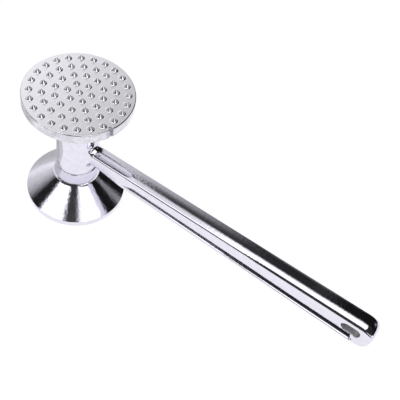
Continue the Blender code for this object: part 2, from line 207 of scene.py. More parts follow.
class Shell:
    """Faces with a normal at every corner. Corners at one place become one vertex."""

    def __init__(self):
        self.index = {}
        self.points = []
        self.faces = []
        self.normals = []
        self.finishes = []

    def vertex(self, point):
        key = tuple(round(value / WELD) for value in point)
        if key not in self.index:
            self.index[key] = len(self.points)
            self.points.append(point)
        return self.index[key]

    def face(self, corners, finish=0):
        """One face from (point, normal) corners; corners that coincide are dropped."""
        used = []
        for point, normal in corners:
            vertex = self.vertex(point)
            if vertex not in [item[0] for item in used]:
                used.append((vertex, normal))
        if len(used) > 2:
            self.faces.append([item[0] for item in used])
            self.normals.append([item[1] for item in used])
            self.finishes.append(finish)

    def sheet(self, rows, closed, finish=0, flip=False):
        """Quads between rows of corners. A row repeated with other normals makes a sharp edge."""
        for low, high in zip(rows, rows[1:]):
            if all((a[0] - b[0]).length < WELD for a, b in zip(low, high)):
                continue
            count = len(low)
            for step in range(count if closed else count - 1):
                after = (step + 1) % count
                corners = [low[step], low[after], high[after], high[step]]
                self.face(corners[::-1] if flip else corners, finish)

    def build(self, name, materials):
        mesh = bpy.data.meshes.new(name)
        mesh.from_pydata([TOOL @ point for point in self.points], [], self.faces)
        turn = TOOL.to_3x3()
        normals = [turn @ normal for corners in self.normals for normal in corners]
        for material in materials:
            mesh.materials.append(material)
        mesh.polygons.foreach_set("material_index", self.finishes)
        mesh.shade_smooth()
        mesh.normals_split_custom_set(normals)
        obj = bpy.data.objects.new(name, mesh)
        bpy.context.scene.collection.objects.link(obj)
        return obj


def smoothstep(value):
    value = min(max(value, 0.0), 1.0)
    return value * value * (3 - 2 * value)


def rounded_outline(corners):
    """(radius, height, rounding) corners to (radius, height, normal) points; rounding 0 is a sharp edge."""
    points = []
    count = len(corners)
    for index, (radius, height, rounding) in enumerate(corners):
        here = Vector((radius, height))
        before = (here - Vector(corners[index - 1][:2])).normalized() if index > 0 else None
        after = (Vector(corners[index + 1][:2]) - here).normalized() if index + 1 < count else None
        if before is None or after is None:
            run = after or before
            points.append((radius, height, Vector((-run.y, run.x))))
            continue
        first, last = Vector((-before.y, before.x)), Vector((-after.y, after.x))
        if not rounding:
            points.append((radius, height, first))
            points.append((radius, height, last))
            continue
        turn = before.angle_signed(after)
        inset = rounding * math.tan(abs(turn) / 2)
        start = here - before * inset
        outward = first if turn > 0 else -first
        centre = start - outward * rounding
        for step in range(ARC_STEPS + 1):
            share = step / ARC_STEPS
            normal = Matrix.Rotation(-turn * share, 2) @ first
            arm = normal if turn > 0 else -normal
            point = centre + arm * rounding
            points.append((point.x, point.y, normal))
    return points


def circle_angles(count):
    return [2 * math.pi * step / count for step in range(count)]


def swept(outline, angles, centre=(0.0, 0.0)):
    """Rows of corners: each outline point swept around an upright axis."""
    rows = []
    for radius, height, normal in outline:
        row = []
        for angle in angles:
            x, y = math.cos(angle), math.sin(angle)
            point = Vector((centre[0] + radius * x, centre[1] + radius * y, height))
            row.append((point, Vector((normal.x * x, normal.x * y, normal.y))))
        rows.append(row)
    return rows


def filled(outer, holes, inner=()):
    """Triangles, as index triples into outer + holes + inner, that fill a flat outline around holes."""
    points = list(outer)
    loops = [list(range(len(outer)))]
    for hole in holes:
        loops.append(list(range(len(points), len(points) + len(hole))))
        points += hole
    points += inner
    edges = [(a, b) for loop in loops for a, b in zip(loop, loop[1:] + loop[:1])]
    flat = [Vector(point) for point in points]
    _, lines, faces, origins, sources, _ = delaunay_2d_cdt(flat, edges, [], 0, WELD)
    walls = {frozenset(line) for line, source in zip(lines, sources) if source}
    beside = {}
    for number, face in enumerate(faces):
        for side in zip(face, face[1:] + face[:1]):
            beside.setdefault(frozenset(side), []).append(number)
    within = {}
    for side, numbers in beside.items():
        if len(numbers) == 1:
            within[numbers[0]] = side in walls
    queue = list(within)
    while queue:
        face = faces[queue[-1]]
        here = within[queue.pop()]
        for side in map(frozenset, zip(face, face[1:] + face[:1])):
            for number in beside[side]:
                if number not in within:
                    within[number] = here != (side in walls)
                    queue.append(number)
    for number, face in enumerate(faces):
        if within[number]:
            yield [origins[i][0] for i in face]


def inside(point, loop):
    """Whether a flat point lies in a closed loop."""
    found = False
    for (x1, y1), (x2, y2) in zip(loop, loop[1:] + loop[:1]):
        if (y1 > point[1]) != (y2 > point[1]):
            if point[0] < (x2 - x1) * (point[1] - y1) / (y2 - y1) + x1:
                found = not found
    return found


def plate(shell, height, outer, holes, up, finish=0):
    """A level face at a height, from loops of (x, y) points."""
    points = [point for loop in [outer] + holes for point in loop]
    normal = Vector((0, 0, 1 if up else -1))
    for face in filled(outer, holes):
        corners = [(Vector((*points[i], height)), normal) for i in face]
        area = sum(corners[i - 1][0].x * corners[i][0].y - corners[i][0].x * corners[i - 1][0].y
                   for i in range(len(corners)))
        if (area > 0) != up:
            corners.reverse()
        shell.face(corners, finish)


def flat_loop(row):
    return [(point.x, point.y) for point, _ in row]


def pocket(shell, level, far, up):
    """The key pin's hole, from its mouth at one height to its floor at another."""
    rows = swept([(PIN_HOLE, level, Vector((-1, 0))), (PIN_HOLE, far, Vector((-1, 0)))],
                 circle_angles(PIN_STEPS), (-PIN_CIRCLE, 0.0))
    shell.sheet(rows, True, flip=up)
    plate(shell, far, flat_loop(rows[1]), [], not up)
    return flat_loop(rows[0])


# ---------------------------------------------------------------- toothed head

def tooth_places():
    """The centre tooth, then rings of 6, 12, 18 and 24, evenly spaced in each ring."""
    yield 0.0, 0.0
    for ring in range(1, TOOTH_RINGS + 1):
        for index in range(6 * ring):
            angle = TOOTH_TURN + 2 * math.pi * index / (6 * ring)
            yield ring * TOOTH_PITCH * math.cos(angle), ring * TOOTH_PITCH * math.sin(angle)


def tooth_outline():
    """A cone tooth from its blunt tip to the fillet at its foot."""
    foot = HEAD_HEIGHT
    slope = (TOOTH_BASE - TOOTH_TIP) / TOOTH_HEIGHT
    tip_round = 0.9 * TOOTH_TIP
    corners = [
        (0, foot + TOOTH_HEIGHT, 0),
        (TOOTH_TIP, foot + TOOTH_HEIGHT, tip_round),
        (TOOTH_TIP + slope * TOOTH_HEIGHT, foot, TOOTH_FILLET),
        (TOOTH_BASE + TOOTH_FILLET, foot, 0),
    ]
    return rounded_outline(corners)


def notch_inset(angle):
    """How far the rim is cut back at an angle."""
    away = math.remainder(angle - NOTCH_TURN, 2 * math.pi) * TOOTHED_RADIUS
    share = (NOTCH_WIDTH / 2 + NOTCH_WALL / 2 - abs(away)) / NOTCH_WALL
    return NOTCH_DEPTH * smoothstep(share)


def rim_angles():
    """Even steps around the head, with fine ones across the notch."""
    span = (NOTCH_WIDTH / 2 + NOTCH_WALL) / TOOTHED_RADIUS
    fine = [NOTCH_TURN + span * (step / NOTCH_STEPS - 1) for step in range(2 * NOTCH_STEPS + 1)]
    gap = 2 * math.pi - 2 * span
    return fine + [NOTCH_TURN + span + gap * step / ROUND_STEPS for step in range(1, ROUND_STEPS)]


def row_normals(rows):
    """Replaces the corners' normals with those of the swept surface itself."""
    count = len(rows[0])
    fresh = []
    for index, row in enumerate(rows):
        above = rows[max(index - 1, 0)]
        below = rows[min(index + 1, len(rows) - 1)]
        line = []
        for step in range(count):
            along = row[(step + 1) % count][0] - row[step - 1][0]
            down = below[step][0] - above[step][0]
            normal = along.cross(-down).normalized()
            line.append((row[step][0], normal))
        fresh.append(line)
    return fresh


def make_toothed_head(materials):
    """Disc, teeth, notched rim, flare, spigot and stud hole.

    Finish 0 is the rim's, 1 the face's and the flare's, 2 the teeth's, 3 that of the notch's one wall,
    painted darker as shade.
    """
    shell = Shell()
    angles = rim_angles()
    rim_foot = HEAD_HEIGHT - TOOTHED_RIM
    outline = rounded_outline([
        (0, HEAD_HEIGHT, 0),
        (TOOTHED_RADIUS, HEAD_HEIGHT, FACE_EDGE),
        (TOOTHED_RADIUS, rim_foot + RIM_BEVEL, RIM_ROUND),
        (TOOTHED_RADIUS - RIM_BEVEL, rim_foot, FLARE_ROUND),
        (NECK_RADIUS, UPPER_SHOULDER_Z, SMALL_EDGE),
        (SPIGOT_RADIUS, UPPER_SHOULDER_Z, 0),
    ])[1:]
    start, end = outline[RIM_ROWS - 1], outline[RIM_ROWS]
    for step in range(1, NOTCH_ROWS + 1):
        radius = start[0] - step * NOTCH_ROW_STEP
        share = (start[0] - radius) / (start[0] - end[0])
        outline.insert(RIM_ROWS + step - 1, (radius, start[1] + share * (end[1] - start[1]), start[2]))
    rows = []
    for radius, height, normal in outline:
        row = []
        for angle in angles:
            cut = notch_inset(angle)
            if height > rim_foot + RIM_BEVEL / 2:
                shown = radius - cut
            else:
                shown = min(radius, TOOTHED_RADIUS - cut)
            x, y = math.cos(angle), math.sin(angle)
            point = Vector((shown * x, shown * y, height))
            row.append((point, Vector((normal.x * x, normal.x * y, normal.y))))
        rows.append(row)
    notched = RIM_ROWS + NOTCH_ROWS
    smooth_rows = row_normals(rows[:notched + 1])[:notched]
    cut_steps = [step for step, angle in enumerate(angles) if notch_inset(angle) > 0]
    for row, smooth in zip(rows, smooth_rows):
        for step in cut_steps:
            row[step] = smooth[step]
    # The notch's one wall takes finish 3: painted darker as shade.
    shade_from = NOTCH_TURN + NOTCH_SHADE_FROM * NOTCH_WIDTH / TOOTHED_RADIUS
    for low, high in zip(rows[:RIM_ROWS], rows[1:RIM_ROWS]):
        for step, angle in enumerate(angles):
            after = (step + 1) % len(angles)
            shaded = angle > shade_from and notch_inset(angle) > 0.1 * NOTCH_DEPTH
            shell.face([high[step], high[after], low[after], low[step]], finish=3 if shaded else 0)
    shell.sheet(rows[RIM_ROWS - 1:-1], True, finish=1, flip=True)
    teeth = []
    for place in tooth_places():
        tooth = swept(tooth_outline(), circle_angles(TOOTH_SIDES), place)
        shell.sheet(tooth, True, finish=2, flip=True)
        teeth.append(flat_loop(tooth[-1]))
    plate(shell, HEAD_HEIGHT, flat_loop(rows[0]), teeth, True, finish=1)
    spigot = swept([
        (SPIGOT_RADIUS, UPPER_SHOULDER_Z, Vector((1, 0))),
        (SPIGOT_RADIUS, HEAD_FOOT, Vector((1, 0))),
        (SPIGOT_RADIUS, HEAD_FOOT, Vector((0, -1))),
        (STUD_HOLE, HEAD_FOOT, Vector((0, -1))),
        (STUD_HOLE, HEAD_FOOT, Vector((-1, 0))),
        (STUD_HOLE, STUD_TOP + GAP, Vector((-1, 0))),
    ], circle_angles(BORE_STEPS))
    shell.sheet(spigot, True, flip=True)
    plate(shell, STUD_TOP + GAP, flat_loop(spigot[-1]), [], False)
    pin_mouth = pocket(shell, UPPER_SHOULDER_Z, PIN_TOP + GAP, True)
    plate(shell, UPPER_SHOULDER_Z, flat_loop(rows[-2]), [flat_loop(spigot[0]), pin_mouth], False)
    return shell.build("toothed_head_fine", materials)


# ---------------------------------------------------------------- smooth head and collar

def make_smooth_head(materials):
    shell = Shell()
    hole_foot = STUD_FOOT - GAP
    outline = rounded_outline([
        (0, hole_foot, 0),
        (STUD_HOLE, hole_foot, 0),
        (STUD_HOLE, LOWER_SPIGOT_TOP, 0),
        (SPIGOT_RADIUS, LOWER_SPIGOT_TOP, 0),
        (SPIGOT_RADIUS, SHOULDER_Z, 0),
        (COLLAR_RADIUS, SHOULDER_Z, SMALL_EDGE),
        (COLLAR_RADIUS + CURL, SHOULDER_Z - CURL * math.tan(CURL_SLOPE), CURL_RADIUS),
        (SMOOTH_RADIUS, SMOOTH_RIM, CONE_EDGE),
        (SMOOTH_RADIUS, 0, FACE_EDGE),
        (0, 0, 0),
    ])
    shell.sheet(swept(outline, circle_angles(ROUND_STEPS)), True, flip=True)
    return shell.build("smooth_head_fine", materials)


def make_collar(materials):
    shell = Shell()
    top = BARREL_FOOT - CLOSE_GAP
    outline = rounded_outline([
        (BORE_RADIUS, top, 0),
        (COLLAR_RADIUS, top, COLLAR_EDGE),
        (COLLAR_RADIUS, COLLAR_FOOT, SMALL_EDGE),
        (BORE_RADIUS, COLLAR_FOOT, 0),
        (BORE_RADIUS, top, 0),
    ])
    shell.sheet(swept(outline, circle_angles(ROUND_STEPS)), True, flip=True)
    return shell.build("neck_collar_fine", materials)


# ---------------------------------------------------------------- handle

def along(pair, x):
    """A size that changes evenly from the neck's axis to the handle's end."""
    return pair[0] + (pair[1] - pair[0]) * x / HANDLE_END


def recess_depth(x, share=1.0):
    """How deep the side panel lies, at a share of its height down from the top edge."""
    fade_in = smoothstep((x - RECESS_START) / RECESS_FADE)
    end = min(RECESS_END + RECESS_END_LEAN * (1 - share), HANDLE_END - RECESS_MARGIN)
    fade_out = smoothstep((end - x) / (RECESS_END_FADE + RECESS_SOFTER * (1 - share)))
    return share * along(RECESS_DEPTH, x) * fade_in * fade_out


def round_in(distance, rounding):
    """How far a rounded end has come in, at a distance before the end."""
    length, depth = rounding
    share = min(max(1.0 - distance / length, 0.0), 1.0)
    return depth * (1.0 - math.sqrt(1.0 - share * share))


def arc(centre, radii, start, stop, steps):
    """Points on an arc or a quarter ellipse; angles run from straight up towards +Y."""
    for step in range(steps + 1):
        angle = start + (stop - start) * step / steps
        yield centre[0] + radii[0] * math.sin(angle), centre[1] + radii[1] * math.cos(angle)


def half_section(x):
    """The bar's outline at x for y >= 0, as (y, z) from the top's middle to the underside's."""
    to_end = HANDLE_END - x
    side = along(HALF_WIDTH, x) - round_in(to_end, END_CORNER)
    edge = along(EDGE_RADIUS, x)
    edge_z = along(HANDLE_EDGE_Z, x) - round_in(to_end, END_TOP)
    rise = ROOT_RISE_SLOPE * max(0.0, ROOT_RISE_START - x)
    bottom = along(UNDERSIDE_Z, x) + rise + round_in(to_end, END_HEEL)
    depth = recess_depth(x)
    ledge = max(along(LEDGE_Z, x), bottom + BEAD_HEIGHT)
    crown_side = side - edge + edge * math.sin(CROWN_ANGLE)
    crown_radius = crown_side / math.sin(CROWN_ANGLE)
    crown_centre = edge_z + (edge - crown_radius) * math.cos(CROWN_ANGLE)
    points = list(arc((0, crown_centre), (crown_radius, crown_radius), 0, CROWN_ANGLE, CROWN_STEPS))
    points += list(arc((side - edge, edge_z), (edge, edge), CROWN_ANGLE, math.pi / 2, EDGE_STEPS))[1:]
    panel_foot = ledge + FOOT_RADIUS
    for step in range(1, PANEL_STEPS + 1):
        share = step / PANEL_STEPS
        points.append((side - recess_depth(x, share), edge_z + (panel_foot - edge_z) * share))
    bulge = min(depth, BEAD_RADIUS)
    foot = min(FOOT_RADIUS, 0.4 * depth)
    for step in range(1, FOOT_STEPS + 1):
        angle = math.pi / 2 * step / FOOT_STEPS
        points.append((side - depth + foot * (1 - math.cos(angle)),
                       panel_foot - FOOT_RADIUS * math.sin(angle)))
    points.append((side - (depth - foot + bulge) / 2, ledge - LEDGE_FALL / 2))
    points += list(arc((side - bulge, ledge - LEDGE_FALL - BEAD_RADIUS), (bulge, BEAD_RADIUS),
                       0, math.pi / 2, BEAD_STEPS))
    points += list(arc((side - BOTTOM_RADIUS, bottom + BOTTOM_RADIUS), (BOTTOM_RADIUS, BOTTOM_RADIUS),
                       math.pi / 2, math.pi, BOTTOM_STEPS))
    for step in range(1, BASE_STEPS + 1):
        points.append(((side - BOTTOM_RADIUS) * (1 - step / BASE_STEPS), bottom))
    return points


def full_section(x):
    half = half_section(x)
    return half + [(-y, z) for y, z in reversed(half[1:-1])]


def section_normals(outline):
    count = len(outline)
    for index in range(count):
        run = (Vector(outline[(index + 1) % count]) - Vector(outline[index - 1])).normalized()
        yield -run.y, run.x


def root_turn(y, lean, radius):
    """How far a root fillet turns before it runs along the barrel, by bisection."""
    low, high = 0.0, math.pi / 2
    for _ in range(40):
        turn = (low + high) / 2
        side = y + lean * radius * (1 - math.cos(turn))
        forward = math.sqrt(NECK_RADIUS ** 2 - side ** 2)
        if forward * math.cos(turn) > lean * side * math.sin(turn):
            low = turn
        else:
            high = turn
    return turn, forward + radius * math.sin(turn)


def root_rings(steps):
    """Rings that sweep the bar's outline outward onto the barrel, the contact ring first."""
    outline = full_section(ROOT_RISE_START / 2)
    rings = [[] for _ in range(steps + 1)]
    for (y, z), (lean, lift) in zip(outline, section_normals(outline)):
        radius = math.hypot(ROOT_FILLET[0] * lean, ROOT_FILLET[1] * lift)
        turn, start = root_turn(abs(y), abs(lean), radius)
        for step in range(steps + 1):
            angle = turn * (1 - step / steps)
            out = radius * (1 - math.cos(angle))
            rings[step].append(Vector((start - radius * math.sin(angle), y + lean * out, z + lift * out)))
    return rings


def bar_stations():
    """Places along the bar where its outline is taken, closer together where it changes."""
    stations = [BAR_START + ROOT_SPACING * step for step in range(NEAR_STATIONS)]
    stations += [RECESS_START + RECESS_FADE * step / FADE_STEPS for step in range(FADE_STEPS + 1)]
    first, last = stations[-1], RECESS_END - RECESS_END_FADE
    stations += [first + (last - first) * step / MIDDLE_STEPS for step in range(1, MIDDLE_STEPS + 1)]
    stations += [last + RECESS_END_FADE * step / END_FADE_STEPS for step in range(1, END_FADE_STEPS + 1)]
    for step in range(END_STEPS + 1):
        share = math.sin(math.pi / 2 * step / END_STEPS)
        stations.append(HANDLE_END - END_HEEL[0] + END_HEEL[0] * share)
    return stations


def side_y(x, z):
    """The bar's half width at a place on its side."""
    half = half_section(x)
    for (y1, z1), (y2, z2) in zip(half[PANEL_TOP:], half[PANEL_TOP + 1:]):
        if z2 <= z <= z1:
            return y1 + (y2 - y1) * (z1 - z) / max(z1 - z2, WELD)
    return half[PANEL_TOP][0]


def side_corner(x, z, sign):
    """A point on the bar's side with its normal."""
    step = SLOPE_STEP
    ahead = side_y(x - step, z) - side_y(x + step, z)
    up = side_y(x, z - step) - side_y(x, z + step)
    normal = Vector((ahead, 2 * step, up)).normalized()
    return Vector((x, sign * side_y(x, z), z)), Vector((normal.x, sign * normal.y, normal.z))


def slot_outline(grow):
    """The hanging slot's outline as (x, z, outward x, outward z), grown by an amount."""
    radius = SLOT_HEIGHT / 2
    straight = SLOT_LENGTH / 2 - radius
    outline = []
    for side in (1, -1):
        for step in range(SLOT_STEPS + 1):
            angle = math.pi * (step / SLOT_STEPS - 0.5)
            out = (side * math.cos(angle), side * math.sin(angle))
            outline.append((SLOT_CENTRE[0] + side * straight + (radius + grow) * out[0],
                            SLOT_CENTRE[1] + (radius + grow) * out[1], *out))
        for step in range(1, 8):
            share = 1 - step / 4
            outline.append((SLOT_CENTRE[0] + side * straight * share,
                            SLOT_CENTRE[1] + side * (radius + grow), 0.0, float(side)))
    return outline


def slot_rows():
    """Rows of corners from one side's rounded edge through the bar to the other side's."""
    rows = []
    for sign in (1, -1):
        part = []
        for step in range(ARC_STEPS + 1):
            angle = math.pi / 2 * step / ARC_STEPS
            grow = SLOT_EDGE * (1 - math.sin(angle))
            row = []
            for (x, z, out_x, out_z), rim in zip(slot_outline(grow), slot_outline(SLOT_EDGE)):
                surface, normal = side_corner(rim[0], rim[1], sign)
                wall = Vector((-out_x, 0, -out_z))
                drop = Vector((0, -sign * SLOT_EDGE * (1 - math.cos(angle)), 0))
                point = Vector((x, surface.y, z)) + drop
                shade = (normal * math.cos(angle) + wall * math.sin(angle)).normalized()
                row.append((point, shade))
            part.append(row)
        rows.append(part)
    return rows[0], rows[1]


def make_bar(shell):
    """The bar with its root fillets, rounded end and hanging slot. Gives back the ring on the barrel.

    Finish 0 is polished, 1 the recess's foot, painted near-black as shade, 2 the slot's wall, painted darker
    as shade.
    """
    rings = root_rings(ROOT_RINGS)
    stations = bar_stations()
    for x in stations:
        rings.append([Vector((x, y, z)) for y, z in full_section(x)])
    count = len(rings[0])
    rows = []
    for index, ring in enumerate(rings):
        before = rings[max(index - 1, 0)]
        after = rings[min(index + 1, len(rings) - 1)]
        row = []
        for step in range(count):
            around = ring[(step + 1) % count] - ring[step - 1]
            normal = around.cross(before[step] - after[step]).normalized()
            row.append((ring[step], normal))
        rows.append(row)
    for step, (point, _) in enumerate(rows[0]):
        rows[0][step] = (point, Vector((point.x, point.y, 0)).normalized())
    rows[-1] = [(point, Vector((1, 0, 0))) for point, _ in rows[-1]]

    margin = SLOT_EDGE + SLOT_MARGIN
    near = SLOT_CENTRE[0] - SLOT_LENGTH / 2 - margin
    far = SLOT_CENTRE[0] + SLOT_LENGTH / 2 + margin
    lead = len(rings) - len(stations)
    first = lead + max(i for i, x in enumerate(stations) if x < near)
    last = lead + min(i for i, x in enumerate(stations) if x > far)
    for side in (1, -1):
        columns = list(range(PANEL_TOP, PANEL_FOOT + 1))
        if side < 0:
            columns = [(count - column) % count for column in columns]
        patch_side(shell, rows, first, last, columns, side)
    skipped = set(range(PANEL_TOP, PANEL_FOOT)) | set(range(count - PANEL_FOOT, count - PANEL_TOP))
    dark_foot = set(range(*DARK_FOOT)) | set(range(count - DARK_FOOT[1], count - DARK_FOOT[0]))
    for index, (low, high) in enumerate(zip(rows, rows[1:])):
        for step in range(count):
            if first <= index < last and step in skipped:
                continue
            after = (step + 1) % count
            # Where the recess is deep, its foot takes finish 1: painted near-black as shade.
            dark = step in dark_foot and recess_depth(high[step][0].x) > DARK_RECESS
            shell.face([low[step], high[step], high[after], low[after]], finish=1 if dark else 0)
    end = [point for point, _ in rows[-1]]
    loop = [(point.y, point.z) for point in end]
    for face in filled(loop, []):
        corners = [(end[i], Vector((1, 0, 0))) for i in face]
        normal = (corners[1][0] - corners[0][0]).cross(corners[2][0] - corners[0][0])
        shell.face(corners if normal.x > 0 else corners[::-1])
    left, right = slot_rows()
    shell.sheet(left, True, flip=True)
    # The slot's inside takes finish 2: painted darker as shade.
    shell.sheet([left[-1], right[-1]], True, finish=2, flip=True)
    shell.sheet(right[::-1], True, flip=True)
    return rings[0]


def patch_side(shell, rows, first, last, columns, side):
    """The part of the bar's side around the slot, joined to the rows of corners around it."""
    border = [rows[i][columns[0]] for i in range(first, last)]
    border += [rows[last][column] for column in columns[:-1]]
    border += [rows[i][columns[-1]] for i in range(last, first, -1)]
    border += [rows[first][column] for column in columns[:0:-1]]
    outer = [(point.x, point.z) for point, _ in border]
    rim = [side_corner(x, z, side) for x, z, _, _ in slot_outline(SLOT_EDGE)]
    hole = [(point.x, point.z) for point, _ in rim]
    guard = [(x, z) for x, z, _, _ in slot_outline(SLOT_EDGE + SLOT_GUARD)]
    free = [rows[i][column] for i in range(first + 1, last) for column in columns[1:-1]]
    free = [corner for corner in free if not inside((corner[0].x, corner[0].z), guard)]
    corners = border + rim + free
    for face in filled(outer, [hole], [(point.x, point.z) for point, _ in free]):
        chosen = [corners[i] for i in face]
        normal = (chosen[1][0] - chosen[0][0]).cross(chosen[2][0] - chosen[0][0])
        shell.face(chosen if normal.y * side > 0 else chosen[::-1])


def make_barrel(shell, contact):
    """The neck's barrel, open where the bar's root runs onto it, and bored for both spigots."""
    low, high = BARREL_FOOT + SMALL_EDGE, BARREL_TOP - SMALL_EDGE
    angles = circle_angles(ROUND_STEPS)
    step = 2 * math.pi / ROUND_STEPS
    loop = [(math.atan2(point.y, point.x), point.z) for point in contact]
    reach_steps = math.ceil((max(angle for angle, _ in loop) + 2 * step) / step)
    wide = reach_steps * step

    def corner(angle, z):
        out = Vector((math.cos(angle), math.sin(angle), 0))
        return Vector((NECK_RADIUS * out.x, NECK_RADIUS * out.y, z)), out

    across = [-wide + step * i for i in range(2 * reach_steps + 1)]
    outer = [(angle, low) for angle in across] + [(angle, high) for angle in reversed(across)]
    free = []
    for i in range(1, BARREL_LEVELS):
        z = low + (high - low) * i / BARREL_LEVELS
        for angle in across[1:-1]:
            away = min(math.hypot((angle - a) * NECK_RADIUS, z - root_z) for a, root_z in loop)
            if away > ROOT_GUARD and not inside((angle, z), loop):
                free.append((angle, z))
    scaled = [[(a * NECK_RADIUS, z) for a, z in part] for part in (outer, loop, free)]
    places = outer + loop + free
    exact = {len(outer) + i: point for i, point in enumerate(contact)}
    for face in filled(scaled[0], [scaled[1]], scaled[2]):
        chosen = []
        for i in face:
            point, normal = corner(*places[i])
            chosen.append((exact.get(i, point), normal))
        normal = (chosen[1][0] - chosen[0][0]).cross(chosen[2][0] - chosen[0][0])
        shell.face(chosen if normal.dot(chosen[0][1]) > 0 else chosen[::-1])
    rest = [wide + step * i for i in range(ROUND_STEPS - 2 * reach_steps + 1)]
    shell.sheet([[corner(angle, high) for angle in rest], [corner(angle, low) for angle in rest]],
                False, flip=True)

    top = rounded_outline([(SPIGOT_RADIUS, BARREL_TOP, 0), (NECK_RADIUS, BARREL_TOP, SMALL_EDGE),
                           (NECK_RADIUS, BARREL_FOOT, SMALL_EDGE), (SPIGOT_RADIUS, BARREL_FOOT, 0)])
    arcs = swept(top, angles)
    shell.sheet(arcs[1:2 + ARC_STEPS], True, flip=True)
    shell.sheet(arcs[2 + ARC_STEPS:-1], True, flip=True)
    bore = swept([
        (BORE_RADIUS, BARREL_TOP, Vector((-1, 0))),
        (BORE_RADIUS, UPPER_SEAT, Vector((-1, 0))),
        (BORE_RADIUS, UPPER_SEAT, Vector((0, 1))),
        (STUD_HOLE, UPPER_SEAT, Vector((0, 1))),
        (STUD_HOLE, UPPER_SEAT, Vector((-1, 0))),
        (STUD_HOLE, LOWER_SEAT, Vector((-1, 0))),
        (STUD_HOLE, LOWER_SEAT, Vector((0, -1))),
        (BORE_RADIUS, LOWER_SEAT, Vector((0, -1))),
        (BORE_RADIUS, LOWER_SEAT, Vector((-1, 0))),
        (BORE_RADIUS, BARREL_FOOT, Vector((-1, 0))),
    ], circle_angles(BORE_STEPS))
    shell.sheet(bore, True)
    pin_mouth = pocket(shell, BARREL_TOP, PIN_FOOT - GAP, False)
    plate(shell, BARREL_TOP, flat_loop(arcs[1]), [flat_loop(bore[0]), pin_mouth], True)
    plate(shell, BARREL_FOOT, flat_loop(arcs[-2]), [flat_loop(bore[-1])], False)


def make_handle(materials):
    shell = Shell()
    contact = make_bar(shell)
    make_barrel(shell, contact)
    return shell.build("handle_fine", materials)


# ---------------------------------------------------------------- materials

class Nodes:
    """Short calls that add and link the nodes of one node tree; i0 is a node's input number 0."""

    def __init__(self, tree):
        self.tree = tree

    def add(self, kind, settings=None, **inputs):
        node = self.tree.nodes.new(kind)
        for name, value in (settings or {}).items():
            setattr(node, name, value)
        for name, value in inputs.items():
            numbered = name[0] == "i" and name[1:].isdigit()
            socket = node.inputs[int(name[1:]) if numbered else name.replace("_", " ")]
            if isinstance(value, bpy.types.NodeSocket):
                self.tree.links.new(value, socket)
            else:
                socket.default_value = value
        return node

    def math(self, operation, a, b=0.0, clamp=False):
        settings = {"operation": operation, "use_clamp": clamp}
        return self.add("ShaderNodeMath", settings, i0=a, i1=b).outputs[0]

    def dot(self, a, b):
        return self.add("ShaderNodeVectorMath", {"operation": "DOT_PRODUCT"}, i0=a, i1=b).outputs["Value"]

    def range(self, value, low, high, out_low=0.0, out_high=1.0, smooth=True):
        kind = "SMOOTHSTEP" if smooth else "LINEAR"
        node = self.add("ShaderNodeMapRange", {"interpolation_type": kind},
                        i0=value, i1=low, i2=high, i3=out_low, i4=out_high)
        return node.outputs[0]

    def noise(self, place, scale, detail=3.0, roughness=0.5):
        return self.add("ShaderNodeTexNoise", None, Vector=place, Scale=scale, Detail=detail,
                        Roughness=roughness).outputs[0]

    def mix(self, factor, a, b):
        node = self.add("ShaderNodeMix", {"data_type": "RGBA"}, i0=factor, i6=a, i7=b)
        return node.outputs[2]


def new_material(name):
    material = bpy.data.materials.new(name)
    material.use_nodes = True
    nodes = Nodes(material.node_tree)
    return material, nodes, material.node_tree.nodes["Principled BSDF"]


def polished_metal(name, colour, roughness, waviness, cloud=0.06):
    """Buffed cast aluminium: mirror-like, with shallow ripples from the wheel and fine hairlines."""
    material, nodes, shader = new_material(name)
    place = nodes.add("ShaderNodeTexCoord").outputs["Object"]
    ripples = nodes.noise(place, 650.0, 3.0)
    haze = nodes.noise(place, 90.0, 4.0)
    clouds = nodes.noise(place, 260.0, 4.0, 0.6)
    shaded = tuple((1 - cloud) * value for value in colour)
    tone = nodes.mix(nodes.range(clouds, 0.35, 0.65), (*shaded, 1), (*colour, 1))
    nodes.tree.links.new(tone, shader.inputs["Base Color"])
    shader.inputs["Metallic"].default_value = 1
    nodes.tree.links.new(nodes.range(haze, 0.3, 0.8, roughness, 1.8 * roughness), shader.inputs["Roughness"])
    bump = nodes.add("ShaderNodeBump", None, Strength=waviness, Distance=0.07 * MM, Height=ripples)
    nodes.tree.links.new(bump.outputs[0], shader.inputs["Normal"])
    return material


def cast_metal(name, colour, roughness, grain):
    """Satin metal: soft gloss, faint mottling and a fine grain. As-cast aluminium and plated steel, and in
    dark tones the painted shade of the notch, slot and recess.
    """
    material, nodes, shader = new_material(name)
    place = nodes.add("ShaderNodeTexCoord").outputs["Object"]
    mottle = nodes.noise(place, 300.0, 5.0, 0.6)
    fine = nodes.noise(place, 2200.0, 3.0)
    shader.inputs["Metallic"].default_value = 1
    shaded = tuple(0.92 * value for value in colour)
    tone = nodes.mix(nodes.range(mottle, 0.3, 0.7), (*shaded, 1), (*colour, 1))
    nodes.tree.links.new(tone, shader.inputs["Base Color"])
    nodes.tree.links.new(nodes.range(mottle, 0.3, 0.7, 0.9 * roughness, 1.15 * roughness),
                         shader.inputs["Roughness"])
    bump = nodes.add("ShaderNodeBump", None, Strength=grain, Distance=0.03 * MM, Height=fine)
    nodes.tree.links.new(bump.outputs[0], shader.inputs["Normal"])
    return material


POLISHED = polished_metal("polished_aluminium", (0.82, 0.805, 0.905), 0.07, 0.5)
CONE = polished_metal("turned_aluminium", (0.82, 0.805, 0.905), 0.09, 1.0)
RIM = polished_metal("rim_aluminium", (0.82, 0.81, 0.89), 0.12, 0.5, 0.2)
CAST = cast_metal("satin_aluminium", (0.86, 0.85, 0.90), 0.25, 0.1)
TEETH = polished_metal("teeth_aluminium", (0.90, 0.89, 0.94), 0.19, 0.2)
